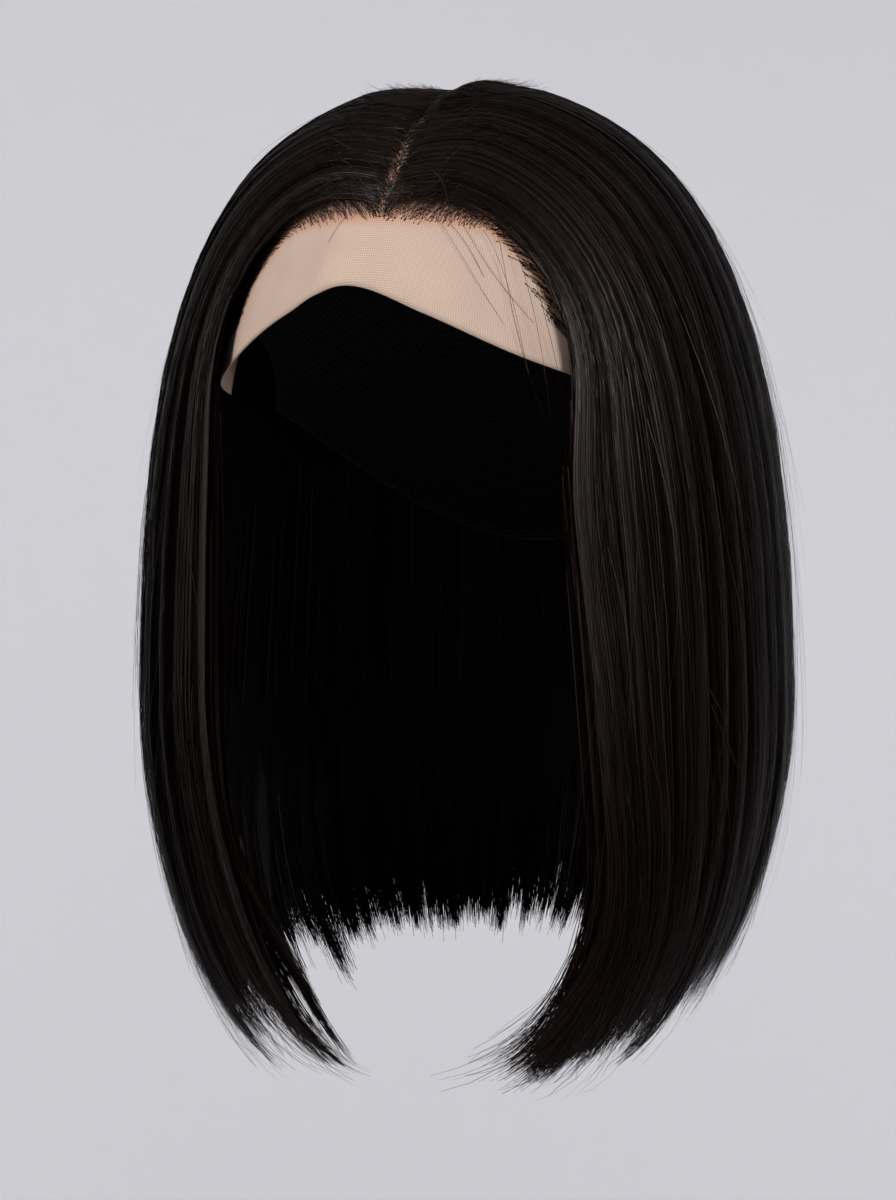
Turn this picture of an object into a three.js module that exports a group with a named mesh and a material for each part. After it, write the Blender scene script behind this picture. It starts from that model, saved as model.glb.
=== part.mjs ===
// Lace front wig: straight bob hair with a centre part, tied to a lace front and sewn to a net cap,
// in the form that it has when worn. Millimetres, +Z up, the face opening looks along -Y and the
// wearer's left is +X. The origin is the inside of the crown, where the top of the head bears.

import * as THREE from "three";

const { degToRad, lerp, smoothstep } = THREE.MathUtils;

// The head that the cap fits: half axes of an ellipsoid whose widest level is CROWN_RISE below the crown
const HEAD_SIDE = 75;
const HEAD_FRONT = 92;
const HEAD_BACK = 98;
const CROWN_RISE = 100;
const NAPE_FALL = 92;

// Cloth walls and the gaps between pieces
const LACE_THICK = 1.0;
const CAP_THICK = 1.2;
const SEAM_GAP = 0.4;
const HAIR_GAP = 0.8;
const HAIR_GAP_AT_EAR = 3;

// Lace and cap are laid out by two angles in degrees: across, from the middle towards an ear, and
// rise, from the front at the widest level, up over the crown (90) and down the back (180).
const EAR_ACROSS = 78;
const SEAM_RISE = 102;
const SEAM_RISE_AT_EAR = 62;
const NAPE_RISE = 213;
const NAPE_RISE_AT_EAR = 193;
const CLOTH_COLUMNS = 26;
const LACE_ROWS = 9;
const CAP_ROWS = 12;

// Free edge of the lace, an arch that peaks just right of the middle
const LACE_EDGE = [
  { across: -78, rise: 6 },
  { across: -45, rise: 13.5 },
  { across: -22, rise: 19.5 },
  { across: -5, rise: 23 },
  { across: 14, rise: 18.5 },
  { across: 40, rise: 12 },
  { across: 78, rise: 6 },
];

// The lace stands off the head in a soft buckle beside the peak and at the loose right end
const LACE_LIFTS = [
  { across: -9, rise: 25, wide: 7, high: 9, lift: 1.6 },
  { across: -66, rise: 6, wide: 10, high: 12, lift: 1.4 },
];

// Hair, outer form: half axes at the fullest level, and the crown's outline as a superellipse
const HAIR_SIDE = 108;
const HAIR_FRONT = 110;
const HAIR_BACK = 123;
const HAIR_TOP = 8.5;
const HAIR_FULL_LEVEL = -192;
const CROWN_POWER_AT_TOP = 1.75;
const CROWN_POWER_AT_SIDE = 3.2;

// Hair, inner form: against the cap, then a curtain that hangs clear of the neck
const INNER_FULL_LEVEL = -188;
const INNER_CURL_SHORT = 10;
const CURTAIN_START = 60;
const PART_HALF_GAP = 1.5;
const ROOT_FULLNESS = 0.2;
const FULL_FROM_ROOT = 16;

// Hair by the direction that it falls in, in degrees round the head from the face: where it roots on
// the part, how low its tips reach, the height and depth of their inward curl and what it turns to,
// how far its inside flares below the cap, and the hair's fullness
const HAIR_STATIONS = [
  { around: 52, rootY: -73, tipZ: -321, drop: 138, curl: 1, curlY: -60, flare: 0, fullness: 0.28 },
  { around: 66, rootY: -56, tipZ: -311, drop: 137, curl: 0.67, curlY: -45, flare: 0.04, fullness: 0.76 },
  { around: 90, rootY: -24, tipZ: -297, drop: 129, curl: 0.61, curlY: -10, flare: 0.1, fullness: 1 },
  { around: 120, rootY: 6, tipZ: -291, drop: 122, curl: 0.62, curlY: 8, flare: 0.1, fullness: 1 },
  { around: 150, rootY: 17, tipZ: -288, drop: 116, curl: 0.58, curlY: 10, flare: 0.1, fullness: 1 },
  { around: 180, rootY: 20, tipZ: -286, drop: 114, curl: 0.56, curlY: 10, flare: 0.1, fullness: 1 },
];

// The three bodies of hair, each a row of locks fused side by side, going round by the wearer's left.
// The back hair is set back a little, which keeps the three apart.
const HAIR_FRONT_EDGE = 52;
const HAIR_BACK_EDGE = 128;
const LOCK_COLUMNS = 4;
const LOCK_RELIEF = 0.055;
const LOCK_UNEVEN = 0.28;
const LOCK_POINT = 11;
const LOCK_STAGGER = 6;
const TIP_ZONE = 122;
const TIP_THICK_SHARE = 0.16;
const HAIR_BODIES = [
  { name: "hair_left", from: HAIR_FRONT_EDGE, to: HAIR_BACK_EDGE, locks: 13, back: 0, drawnBack: 7 },
  { name: "hair_back", from: HAIR_BACK_EDGE, to: 360 - HAIR_BACK_EDGE, locks: 14, back: 0.6 },
  { name: "hair_right", from: 360 - HAIR_BACK_EDGE, to: 360 - HAIR_FRONT_EDGE, locks: 13, back: 0 },
];
// The left hair's front edge is drawn back between these degrees of its fall, so that it hangs straighter
const DRAWN_FROM = 90;
const DRAWN_TO = 130;
// Levels of a lock's section, in degrees of its fall: 0 at the root, 90 at the fullest level
const OUTER_LEVELS = [0, 9, 20, 32, 44, 57, 70, 82, 96, 110, TIP_ZONE];
const INNER_LEVELS = [0, 8, 16, 25, 34, 43, 52, 60, 75, 90, 106, TIP_ZONE];
const TIP_STEPS = 3;

const hairMaterial = new THREE.MeshStandardMaterial({ color: 0x17120f, roughness: 0.42, metalness: 0 });
const laceMaterial = new THREE.MeshStandardMaterial({ color: 0xd8b49c, roughness: 0.85, metalness: 0 });
const capMaterial = new THREE.MeshStandardMaterial({ color: 0x1b1716, roughness: 0.9, metalness: 0 });

// Smooth curve through a table's rows: the value of one column where another column equals at
function along(table, key, at, column) {
  const last = table.length - 1;
  const i = THREE.MathUtils.clamp(table.findIndex((row) => row[key] > at) - 1, 0, last - 1);
  const start = at >= table[last][key] ? last - 1 : i;
  const [a, b] = [table[start], table[start + 1]];
  const before = table[Math.max(start - 1, 0)];
  const after = table[Math.min(start + 2, last)];
  const step = b[key] - a[key];
  const slopeA = (b[column] - before[column]) / (b[key] - before[key]);
  const slopeB = (after[column] - a[column]) / (after[key] - a[key]);
  const t = (at - a[key]) / step;
  const rise = b[column] - a[column];
  const c2 = 3 * rise - step * (2 * slopeA + slopeB);
  const c3 = -2 * rise + step * (slopeA + slopeB);
  return a[column] + t * (step * slopeA + t * (c2 + t * c3));
}

// One closed body through sections, each a loop of outside points and then of inside points
function loft(sections, outsideCount) {
  const count = sections[0].length;
  const positions = sections.flat().flatMap((p) => [p.x, p.y, p.z]);
  const faces = [];
  for (let s = 0; s + 1 < sections.length; s++)
    for (let i = 0; i < count; i++) {
      const j = (i + 1) % count;
      const [a, b] = [s * count + i, s * count + j];
      faces.push(a, a + count, b, b, a + count, b + count);
    }
  const lastStart = (sections.length - 1) * count;
  for (const [a, b, c] of endFaces(outsideCount, count)) {
    faces.push(a, b, c);
    faces.push(lastStart + c, lastStart + b, lastStart + a);
  }
  const geometry = new THREE.BufferGeometry();
  geometry.setAttribute("position", new THREE.Float32BufferAttribute(positions, 3));
  geometry.setIndex(faces);
  geometry.computeVertexNormals();
  return geometry;
}

// Triangles that close a section, zipped between its outside and its inside
function endFaces(outsideCount, count) {
  const faces = [];
  let out = 0;
  let into = count - 1;
  while (out < outsideCount - 1 || into > outsideCount) {
    const outShare = (out + 1) / (outsideCount - 1);
    const inShare = (count - into) / (count - 1 - outsideCount);
    if (into === outsideCount || (out < outsideCount - 1 && outShare <= inShare)) {
      faces.push([out, out + 1, into]);
      out += 1;
    } else {
      faces.push([out, into - 1, into]);
      into -= 1;
    }
  }
  return faces;
}

// Point on the head, or off it by some millimetres, at the cloth's two angles
function headPoint(across, rise, off) {
  const [a, r] = [degToRad(across), degToRad(rise)];
  const depth = Math.cos(r) > 0 ? HEAD_FRONT : HEAD_BACK;
  const height = Math.sin(r) > 0 ? CROWN_RISE : NAPE_FALL;
  return new THREE.Vector3(
    (HEAD_SIDE + off) * Math.sin(a),
    -(depth + off) * Math.cos(a) * Math.cos(r),
    -CROWN_RISE + (height + off) * Math.cos(a) * Math.sin(r),
  );
}

const laceEdge = (across) => along(LACE_EDGE, "across", across, "rise");
const seam = (across) => lerp(SEAM_RISE, SEAM_RISE_AT_EAR, (across / EAR_ACROSS) ** 2);
const napeEdge = (across) => lerp(NAPE_RISE, NAPE_RISE_AT_EAR, (across / EAR_ACROSS) ** 2);

// How far the lace stands off the head
function laceLift(across, rise) {
  return LACE_LIFTS.reduce((sum, bump) => {
    const reach = ((across - bump.across) / bump.wide) ** 2 + ((rise - bump.rise) / bump.high) ** 2;
    return sum + bump.lift * Math.exp(-reach);
  }, 0);
}

// A cloth wall over part of the head, between two edges that are curves of the angle across
function clothWall(lowEdge, highEdge, rows, thick, lift) {
  const sections = [];
  for (let c = 0; c <= CLOTH_COLUMNS; c++) {
    const across = lerp(-EAR_ACROSS, EAR_ACROSS, c / CLOTH_COLUMNS);
    const rises = [];
    for (let r = 0; r <= rows; r++) rises.push(lerp(lowEdge(across), highEdge(across), r / rows));
    const outside = rises.map((rise) => headPoint(across, rise, lift(across, rise) + thick));
    const inside = rises.map((rise) => headPoint(across, rise, lift(across, rise)));
    sections.push([...outside, ...inside.reverse()]);
  }
  return loft(sections, rows + 1);
}

// Root of the hair that falls in a direction, on the part or round its crown end, in plan
function rootInPlan(around) {
  const side = Math.sin(degToRad(around));
  const x = PART_HALF_GAP * THREE.MathUtils.clamp(side / Math.sin(degToRad(HAIR_BACK_EDGE)), -1, 1);
  return new THREE.Vector2(x, station(around, "rootY"));
}

// A column of the hair table, which is the same for both sides of the head
function station(around, column) {
  return along(HAIR_STATIONS, "around", around > 180 ? 360 - around : around, column);
}

// Point in plan on an oval round the head's axis
function oval(around, side, front, back) {
  const a = degToRad(around);
  return new THREE.Vector2(side * Math.sin(a), -(Math.cos(a) > 0 ? front : back) * Math.cos(a));
}

// Share of an oval's reach at which a plan point lies, 1 on the oval
function ovalShare(plan, side, front, back) {
  return Math.min(1, Math.hypot(plan.x / side, plan.y / (plan.y < 0 ? front : back)));
}

// A plan point drawn in towards where the tips curl
function curledIn(plan, around, fall) {
  const towards = new THREE.Vector2(0, station(around, "curlY"));
  const left = 1 - station(around, "curl") * (1 - Math.sin(degToRad(fall)));
  return towards.lerp(plan, left);
}

// Outermost hair in a direction, at some degrees of its fall
function outerHair(around, fall) {
  const full = oval(around, HAIR_SIDE, HAIR_FRONT, HAIR_BACK);
  const f = degToRad(fall);
  if (fall > 90) {
    const plan = curledIn(full, around, fall);
    return new THREE.Vector3(plan.x, plan.y, HAIR_FULL_LEVEL + station(around, "drop") * Math.cos(f));
  }
  const plan = rootInPlan(around).lerp(full, Math.sin(f));
  const share = ovalShare(plan, HAIR_SIDE, HAIR_FRONT, HAIR_BACK);
  const power = lerp(CROWN_POWER_AT_TOP, CROWN_POWER_AT_SIDE, share);
  const z = lerp(HAIR_FULL_LEVEL, HAIR_TOP, Math.sqrt(1 - share ** power));
  return new THREE.Vector3(plan.x, plan.y, z);
}

// Innermost hair in a direction: on the cap, then hanging, then curled in with the rest
function innerHair(around, fall) {
  const reach = Math.sin(degToRad((90 * Math.min(fall, CURTAIN_START)) / CURTAIN_START));
  const off = CAP_THICK + lerp(HAIR_GAP, HAIR_GAP_AT_EAR, reach ** 2);
  const [side, front, back] = [HEAD_SIDE + off, HEAD_FRONT + off, HEAD_BACK + off];
  const rim = oval(around, side, front, back);
  if (fall <= CURTAIN_START) {
    const plan = rootInPlan(around).lerp(rim, reach);
    const share = ovalShare(plan, side, front, back);
    return new THREE.Vector3(plan.x, plan.y, -CROWN_RISE + (CROWN_RISE + off) * Math.sqrt(1 - share ** 2));
  }
  const hang = Math.min(1, (fall - CURTAIN_START) / (90 - CURTAIN_START));
  const plan = rim.multiplyScalar(1 + station(around, "flare") * smoothstep(hang, 0, 1));
  if (fall <= 90) return new THREE.Vector3(plan.x, plan.y, lerp(-CROWN_RISE, INNER_FULL_LEVEL, hang));
  const curled = curledIn(plan, around, fall);
  const z = INNER_FULL_LEVEL + (station(around, "drop") - INNER_CURL_SHORT) * Math.cos(degToRad(fall));
  return new THREE.Vector3(curled.x, curled.y, z);
}

// Section of the hair in one direction, drawn back by some degrees towards its tips.
// crest is 1 on the middle of a lock and 0 between two.
function hairSection(around, drawn, crest, tipZ) {
  const tipFall = THREE.MathUtils.radToDeg(Math.acos((tipZ - HAIR_FULL_LEVEL) / station(around, "drop")));
  const tipFalls = [];
  for (let i = 1; i <= TIP_STEPS; i++) tipFalls.push(lerp(TIP_ZONE, tipFall, i / TIP_STEPS));
  const turned = (fall) => around + drawn * smoothstep(fall, DRAWN_FROM, DRAWN_TO);
  const outside = (fall) => {
    const here = turned(fall);
    const rooted = lerp(ROOT_FULLNESS, 1, smoothstep(fall, 0, FULL_FROM_ROOT));
    const relief = 1 + LOCK_RELIEF * (2 * crest - 1) * smoothstep(fall, 0, 90);
    const fullness = station(here, "fullness") * rooted * relief;
    return innerHair(here, fall).lerp(outerHair(here, fall), fullness);
  };
  const inside = (fall) => {
    const thinned = lerp(1, TIP_THICK_SHARE, smoothstep(fall, TIP_ZONE, tipFall));
    return outside(fall).lerp(innerHair(turned(fall), fall), thinned);
  };
  return [
    ...[...OUTER_LEVELS, ...tipFalls].map(outside).reverse(),
    ...[...INNER_LEVELS, ...tipFalls].map(inside),
  ];
}

// One body of hair: locks of uneven width and length, each with a raised middle and a pointed end
function hairBody({ from, to, locks, back, drawnBack = 0 }) {
  const edge = (i) => {
    const uneven = i > 0 && i < locks ? LOCK_UNEVEN * Math.sin(2.4 * i) : 0;
    return lerp(from, to, (i + uneven) / locks);
  };
  const sections = [];
  for (let column = 0; column <= locks * LOCK_COLUMNS; column++) {
    const lock = Math.floor(column / LOCK_COLUMNS);
    const within = (column % LOCK_COLUMNS) / LOCK_COLUMNS;
    const around = lerp(edge(lock), edge(lock + 1), within);
    const crest = Math.sin(Math.PI * within);
    const stagger = LOCK_STAGGER * Math.sin(3.7 * lock + from) * crest;
    const tipZ = station(around, "tipZ") + LOCK_POINT * (1 - crest) + stagger;
    const drawn = drawnBack * ((to - around) / (to - from)) ** 2;
    const section = hairSection(around, drawn, crest, tipZ);
    section.forEach((p) => (p.y += back));
    sections.push(section);
  }
  return loft(sections, OUTER_LEVELS.length + TIP_STEPS);
}

function piece(name, geometry, material) {
  const mesh = new THREE.Mesh(geometry, material);
  mesh.name = name;
  return mesh;
}

const gapAtSeam = THREE.MathUtils.radToDeg(SEAM_GAP / CROWN_RISE);
const capFront = (across) => seam(across) + gapAtSeam / Math.cos(degToRad(across));
const laceWall = clothWall(laceEdge, seam, LACE_ROWS, LACE_THICK, laceLift);
const capWall = clothWall(capFront, napeEdge, CAP_ROWS, CAP_THICK, () => 0);

const wig = new THREE.Group();
wig.add(piece("lace_front", laceWall, laceMaterial));
wig.add(piece("cap_net", capWall, capMaterial));
for (const body of HAIR_BODIES) wig.add(piece(body.name, hairBody(body), hairMaterial));

export default wig;
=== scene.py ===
"""Lace front wig: a straight off-black bob with a centre part, on a flesh-coloured lace front."""

import math

import bpy
import numpy as np
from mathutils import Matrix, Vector


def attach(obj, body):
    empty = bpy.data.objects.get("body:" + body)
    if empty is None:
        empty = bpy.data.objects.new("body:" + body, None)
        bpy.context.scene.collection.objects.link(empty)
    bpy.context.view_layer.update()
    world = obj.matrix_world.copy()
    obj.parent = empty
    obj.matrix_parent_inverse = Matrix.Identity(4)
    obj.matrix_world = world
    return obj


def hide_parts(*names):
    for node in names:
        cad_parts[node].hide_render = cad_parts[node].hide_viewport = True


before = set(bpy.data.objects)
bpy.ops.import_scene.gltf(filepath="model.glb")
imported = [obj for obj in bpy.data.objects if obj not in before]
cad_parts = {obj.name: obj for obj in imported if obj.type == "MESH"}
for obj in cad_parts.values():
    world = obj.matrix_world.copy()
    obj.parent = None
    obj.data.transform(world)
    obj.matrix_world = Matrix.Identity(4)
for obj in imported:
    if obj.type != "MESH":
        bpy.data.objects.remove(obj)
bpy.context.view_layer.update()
rng = np.random.default_rng(7)

MM = 0.001
TINY = 1e-9

# Sizes in millimetres and degrees, the same as the solids'
HEAD_SIDE, HEAD_FRONT, HEAD_BACK = 75, 92, 98
CROWN_RISE, NAPE_FALL = 100, 92
CAP_THICK = 1.2
HAIR_GAP, HAIR_GAP_AT_EAR = 0.8, 3
EAR_ACROSS = 78
SEAM_RISE, SEAM_RISE_AT_EAR = 102, 62
NAPE_RISE, NAPE_RISE_AT_EAR = 213, 193
LACE_EDGE = {
    "across": [-78, -45, -22, -5, 14, 40, 78],
    "rise": [6, 13.5, 19.5, 23, 18.5, 12, 6],
}
LACE_LIFTS = [
    {"across": -9, "rise": 25, "wide": 7, "high": 9, "lift": 1.6},
    {"across": -66, "rise": 6, "wide": 10, "high": 12, "lift": 1.4},
]
HAIR_SIDE, HAIR_FRONT, HAIR_BACK = 108, 110, 123
HAIR_TOP, HAIR_FULL_LEVEL = 8.5, -192
CROWN_POWER_AT_TOP, CROWN_POWER_AT_SIDE = 1.75, 3.2
INNER_FULL_LEVEL, INNER_CURL_SHORT = -188, 10
CURTAIN_START = 60
ROOT_FULLNESS, FULL_FROM_ROOT = 0.2, 16
HAIR_STATIONS = {
    "around": [52, 66, 90, 120, 150, 180],
    "root_y": [-73, -56, -24, 6, 17, 20],
    "tip_z": [-321, -311, -297, -291, -288, -286],
    "drop": [138, 137, 129, 122, 116, 114],
    "curl": [1, 0.67, 0.61, 0.62, 0.58, 0.56],
    "curl_y": [-60, -45, -10, 8, 10, 10],
    "flare": [0, 0.04, 0.1, 0.1, 0.1, 0.1],
    "fullness": [0.28, 0.76, 1, 1, 1, 1],
}
FRONT_EDGE, BACK_EDGE = 52, 128
RIGHT_FRONT, RIGHT_BACK = 360 - FRONT_EDGE, 360 - BACK_EDGE
LOCK_RELIEF, LOCK_POINT = 0.055, 11
LOCK_UNEVEN, LOCK_UNEVEN_TURN = 0.28, 2.4
LOCK_STAGGER, LOCK_STAGGER_TURN = 6, 3.7
BODIES = [
    {"name": "hair_left", "from": FRONT_EDGE, "to": BACK_EDGE, "locks": 13, "back": 0, "drawn": 7},
    {"name": "hair_back", "from": BACK_EDGE, "to": RIGHT_BACK, "locks": 14, "back": 0.6, "drawn": 0},
    {"name": "hair_right", "from": RIGHT_BACK, "to": RIGHT_FRONT, "locks": 13, "back": 0, "drawn": 0},
]
DRAWN_FROM, DRAWN_TO = 90, 130

# Cloth of the scene: thinner walls than the solids', and a soft fold beside the lace's peak
LACE_WALL, LACE_OFF = 0.5, 0.4
CAP_WALL, CAP_OFF, CAP_SEAM_SPACE = 0.9, 0.1, 0.3
LACE_COLUMNS, LACE_ROWS = 161, 61
CAP_COLUMNS, CAP_ROWS = 81, 61
FLAT_RADIUS_ACROSS, FLAT_RADIUS_RISE = 83, 96
LACE_FOLD = {"start": (-16.0, 20.0), "end": (-7.5, 29.0), "step": 0.7}

# The part of the scene is 1 mm narrower on each side than the solids', because its root hairs lie on the lace
PART_HALF = 0.5

# How the loose hair of each body differs from the solid: the falls between which its tips end at the latest,
# how far its front edge spreads forwards at its middle and at its tips, how much longer it is there,
# how much fuller beside the crown, and how far the tips of its locks are cut to one line
LOOSE = {
    "hair_left": {"ends": (148, 167), "spread": (4.5, 0.0), "longer": 1, "fuller": 0.0, "even": 0.0},
    "hair_back": {"ends": (150, 165), "spread": (0.0, 0.0), "longer": 0, "fuller": 0.0, "even": 0.9},
    "hair_right": {"ends": (148, 165), "spread": (4.5, 4.5), "longer": 0, "fuller": 0.07, "even": 0.0},
}
# No wisp hangs more than this below its lock
LONGEST = 9
# How near the front edge a strand counts as part of it, and how far strands may pass it or another body's
# edge
FRONT_REACH = 12
PAST_FRONT, PAST_BODY = 6.0, 0.6
# Hair left of the part stands up beside the crown: how high, and between which places across and along it
ROOT_STAND = 2.9
STAND_IN_X, STAND_OUT_X = (-1, 9), (24, 7)
STAND_IN_Y, STAND_OUT_Y = (-45, -15), (55, 20)
# How far strands sway and scatter at their tips, in degrees, the share that stays out of the wisps, and how
# far the cut line lies above the solids' tips
SWAY, TIP_SCATTER, SINGLE_SHARE, CUT_ABOVE = 0.28, 1.2, 0.07, 2
# Falls between which strands sink into the hair, sway, lengthen and spread at the front, from which they draw
# together, and between which they lie fuller beside the crown and round the fullest level
SINK_IN, SWAY_IN, LONGER_IN = (12, 75), (25, 90), (98, 150)
SPREAD_IN, SPREAD_LOW_IN = (42, 72), (66, 96)
DRAW_TOGETHER_FROM = 88
FULLER_IN, FULLER_OUT = (18, 42), (88, 62)
SWELL, SWELL_IN, SWELL_OUT = 0.05, (84, 104), (150, 122)
# Cosine of the latest fall that a height is looked for at
LATEST_FALL_COSINE = -0.995

# Strands of each kind on a body of hair: how many, how wide and how light, how deep they lie, and the falls
# between which they start. They are ribbons wider than a hair's 0.08 mm, so that they show
STRANDS = {
    "part": {"count": 3600, "wide": (0.2, 0.34), "tone": 0.33, "depth": (-0.05, 0.13)},
    "cap": {"count": 2200, "wide": (0.2, 0.36), "tone": 0.3, "depth": (0.02, 0.25), "start": (12, 60)},
    "under": {"count": 2300, "wide": (0.24, 0.42), "tone": 0.25, "depth": (0.2, 1.0), "start": (56, 78)},
    "flyaway": {"count": 420, "wide": (0.11, 0.18), "tone": (0.3, 0.8)},
    "crossing": {"count": 110, "wide": (0.12, 0.2), "tone": (0.5, 1.0), "depth": (-0.12, -0.04)},
    "end": {"count": 110, "wide": (0.13, 0.22), "tone": (0.3, 0.8), "depth": (0.0, 0.5), "start": (118, 135)},
    "part_root": {"count": 470, "wide": (0.11, 0.18), "depth": (-0.05, 0.15)},
    "hairline_root": {"wide": (0.11, 0.18), "depth": (-0.02, 0.2)},
}
# How much the tones of strands differ, which share is paler as a painted highlight and by how much, and the
# tone of root hairs
TONE_SPREAD, PAINTED_HIGHLIGHT_SHARE, PAINTED_HIGHLIGHT = 0.16, 0.08, 0.32
ROOT_TONE, ROOT_TONE_SPREAD = 0.4, 0.15
# Strands of the front edge: one in so many, and the degrees behind the edge that they take up
PART_EDGE_ONE_IN, PART_EDGE_REACH = 7, 9
UNDER_EDGE_ONE_IN, UNDER_EDGE_REACH = 6, (-1, 8)
# Roots of the strands on top: half the open part at the crown and at the front, the band of roots beside it,
# how they close over the part at the crown and spread at its end, and how they keep behind the hairline
OPEN_PART, OPEN_PART_Y, ROOT_BAND, ROOT_SUNK = (0.5, 1.5), (-58, -74), 4.2, 1.2
CROWN_START, CROWN_START_Y = (-1.2, 0.6), (-46, -26)
WHORL_FROM, WHORL_START = 115, (0, 7)
LINE_BEFORE, LINE_START, LINE_START_MORE = 5, 44, (0, 9)
# Single hairs that stand off: short fuzz beside the roots, and long ones
FUZZ_SHARE = 0.65
FUZZ = {"start": (0, 9), "reach": (3, 8), "turn": 5.0, "away": (0.1, 0.6)}
LONG_HAIR = {"start": (5, 75), "reach": (25, 75), "turn": 3.0, "away": (0.05, 0.32)}
# Hairs that cross the rest: the falls that they start at, go on for and end at, and how they slant and bow
CROSSING_START, CROSSING_REACH, CROSSING_LATEST = (40, 105), (15, 42), 142
CROSSING_SLANT, CROSSING_BOW = 5, 1.5
# Hairs past the front ends: how far behind the edge they grow, where they end, and how they turn
END_REACH, END_TIP, END_TIP_DEPTH, END_TURN = 14, (150, 172), (-0.3, 0.9), 6
# Ends of the right front edge that are tucked inwards: how much of their way, and between which heights
TUCK, TUCK_OWN, TUCK_HEIGHTS = (0.0, 0.36), (0.85, 1.0), (-235, -305)
# Roots on the lace of the part: where along it, the width of their band at the front and at the crown, and
# how far it reaches past the middle
PART_ROOT_Y, PART_ROOT_WIDE, PART_ROOT_WIDE_Y, PART_ROOT_PAST = (-74, -24), (4.2, 2.8), (-62, -30), 1.1
# Roots at the hairline: columns, rows 1 mm apart, how far ahead of it the first row is, the shares of the
# first rows that are tied, rows whose knots show, and the fall of the hair that the last column joins
HAIRLINE_COLUMNS, HAIRLINE_ROWS, FIRST_ROW_AHEAD = 84, 13, 1.8
ROW_SHARES, KNOT_ROWS, LINE_END_FALL = [0.3, 0.6, 0.85], 6, 45
HAIRLINE_KNOT, PART_KNOT, KNOT_TONE = 0.42, 0.36, 0.3
STRAY_WIDE, STRAY_TONE = 0.14, 0.45
# Wisps on each lock, and how far their tips differ in height
WIDE_WISPS, WIDE_WISP_RAGGED = 4, 4.5
FINE_WISPS, FINE_WISP_RAGGED = 16, 3.2

# Close hair under the strands: its grid, how far it stays behind the front edge at the roots and lower down,
# where it starts, how much shorter it is than the locks, and how deep its two faces lie above and at the tips
CLOSE_ROWS, CLOSE_COLUMNS_ON_LOCK = 30, 8
CLOSE_BEHIND, CLOSE_START, CLOSE_SHORTER = (9.0, 3.0), 2.0, 12
CLOSE_OUTSIDE, CLOSE_INSIDE = (0.14, 0.3), (0.9, 0.42)
CLOSE_MM_AROUND, CLOSE_MM_FALL = 1.9, 1.2

# The hairline: its peak at the part, how far it bows forward, and to which fall it runs
LINE_PEAK_X, LINE_PEAK_Y = 0.3, -73
LINE_BOW, LINE_BOW_REACH = 2.2, 0.55
LINE_LAST_FALL, LINE_STEPS = 68, 60
# Degrees of the cloth's angles in a millimetre, and those ahead of the line between which the lace takes on
# its painted warm shade
DEGREES_IN_MM, WARM_SHADE_AHEAD = 0.62, (2.6, 0.2)

# Map of the cloth and of the close hair: a square of this side in millimetres, with a margin and narrow rims
MAP_NAME, MAP_SIZE, MAP_MARGIN, MAP_RIM = "OFBake", 400, 4, 0.003

# Patterns in millimetres: squares and threads of the nets, patches of the lace, streaks of the close hair
LACE_SQUARE, LACE_THREAD, LACE_PATCH = 0.8, 0.17, 20
CAP_SQUARE, CAP_THREAD = 2.0, 0.45
STREAK_WIDE, STREAK_LONG = 0.44, 50
HAIR_IOR, NYLON_IOR = 1.55, 1.53
# Sockets of a node that mixes colours, which share their names with others of the node
MIX_FACTOR, MIX_A, MIX_B, MIX_RESULT = 0, 6, 7, 2


def smooth(x, low, high):
    """A soft step from 0 at low to 1 at high, where low may be the greater."""
    t = np.clip((x - low) / (high - low), 0, 1)
    return t * t * (3 - 2 * t)


def mix(a, b, t):
    return a + (b - a) * t


def along(table, key, at, column):
    """Smooth curve through a table's rows: one column's value where the key column equals at."""
    xs, ys = np.array(table[key], float), np.array(table[column], float)
    i = np.clip(np.searchsorted(xs, at, side="right") - 1, 0, len(xs) - 2)
    before, after = np.maximum(i - 1, 0), np.minimum(i + 2, len(xs) - 1)
    step, rise = xs[i + 1] - xs[i], ys[i + 1] - ys[i]
    slope_a = (ys[i + 1] - ys[before]) / (xs[i + 1] - xs[before])
    slope_b = (ys[after] - ys[i]) / (xs[after] - xs[i])
    t = (at - xs[i]) / step
    c2 = 3 * rise - step * (2 * slope_a + slope_b)
    c3 = -2 * rise + step * (slope_a + slope_b)
    return ys[i] + t * (step * slope_a + t * (c2 + t * c3))


def folded(around):
    """Directions of the right side as the same ones of the left."""
    return np.where(around > 180, 360 - around, around)


def from_front(body, reach):
    """Directions some degrees behind the front edge of a body of hair."""
    return FRONT_EDGE + reach if body["from"] == FRONT_EDGE else RIGHT_FRONT - reach


def station(around, column):
    """A value of the table of stations, in any direction."""
    return along(HAIR_STATIONS, "around", np.clip(folded(around), FRONT_EDGE, 180), column)


def oval(around, side, front, back):
    a = np.radians(around)
    deep = np.where(np.cos(a) > 0, front, back)
    return np.stack([side * np.sin(a), -deep * np.cos(a)], -1)


def oval_share(plan, side, front, back):
    """How far out towards an oval places in plan are, from 0 in its middle to 1 on it."""
    deep = np.where(plan[..., 1] < 0, front, back)
    return np.minimum(1, np.hypot(plan[..., 0] / side, plan[..., 1] / deep))


def root_in_plan(around):
    turn = np.sin(np.radians(around)) / math.sin(math.radians(BACK_EDGE))
    return np.stack([PART_HALF * np.clip(turn, -1, 1), station(around, "root_y")], -1)


def curled_in(plan, around, fall):
    towards = np.stack([np.zeros_like(around), station(around, "curl_y")], -1)
    left = 1 - station(around, "curl") * (1 - np.sin(np.radians(fall)))
    return mix(towards, plan, left[..., None])


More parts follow.
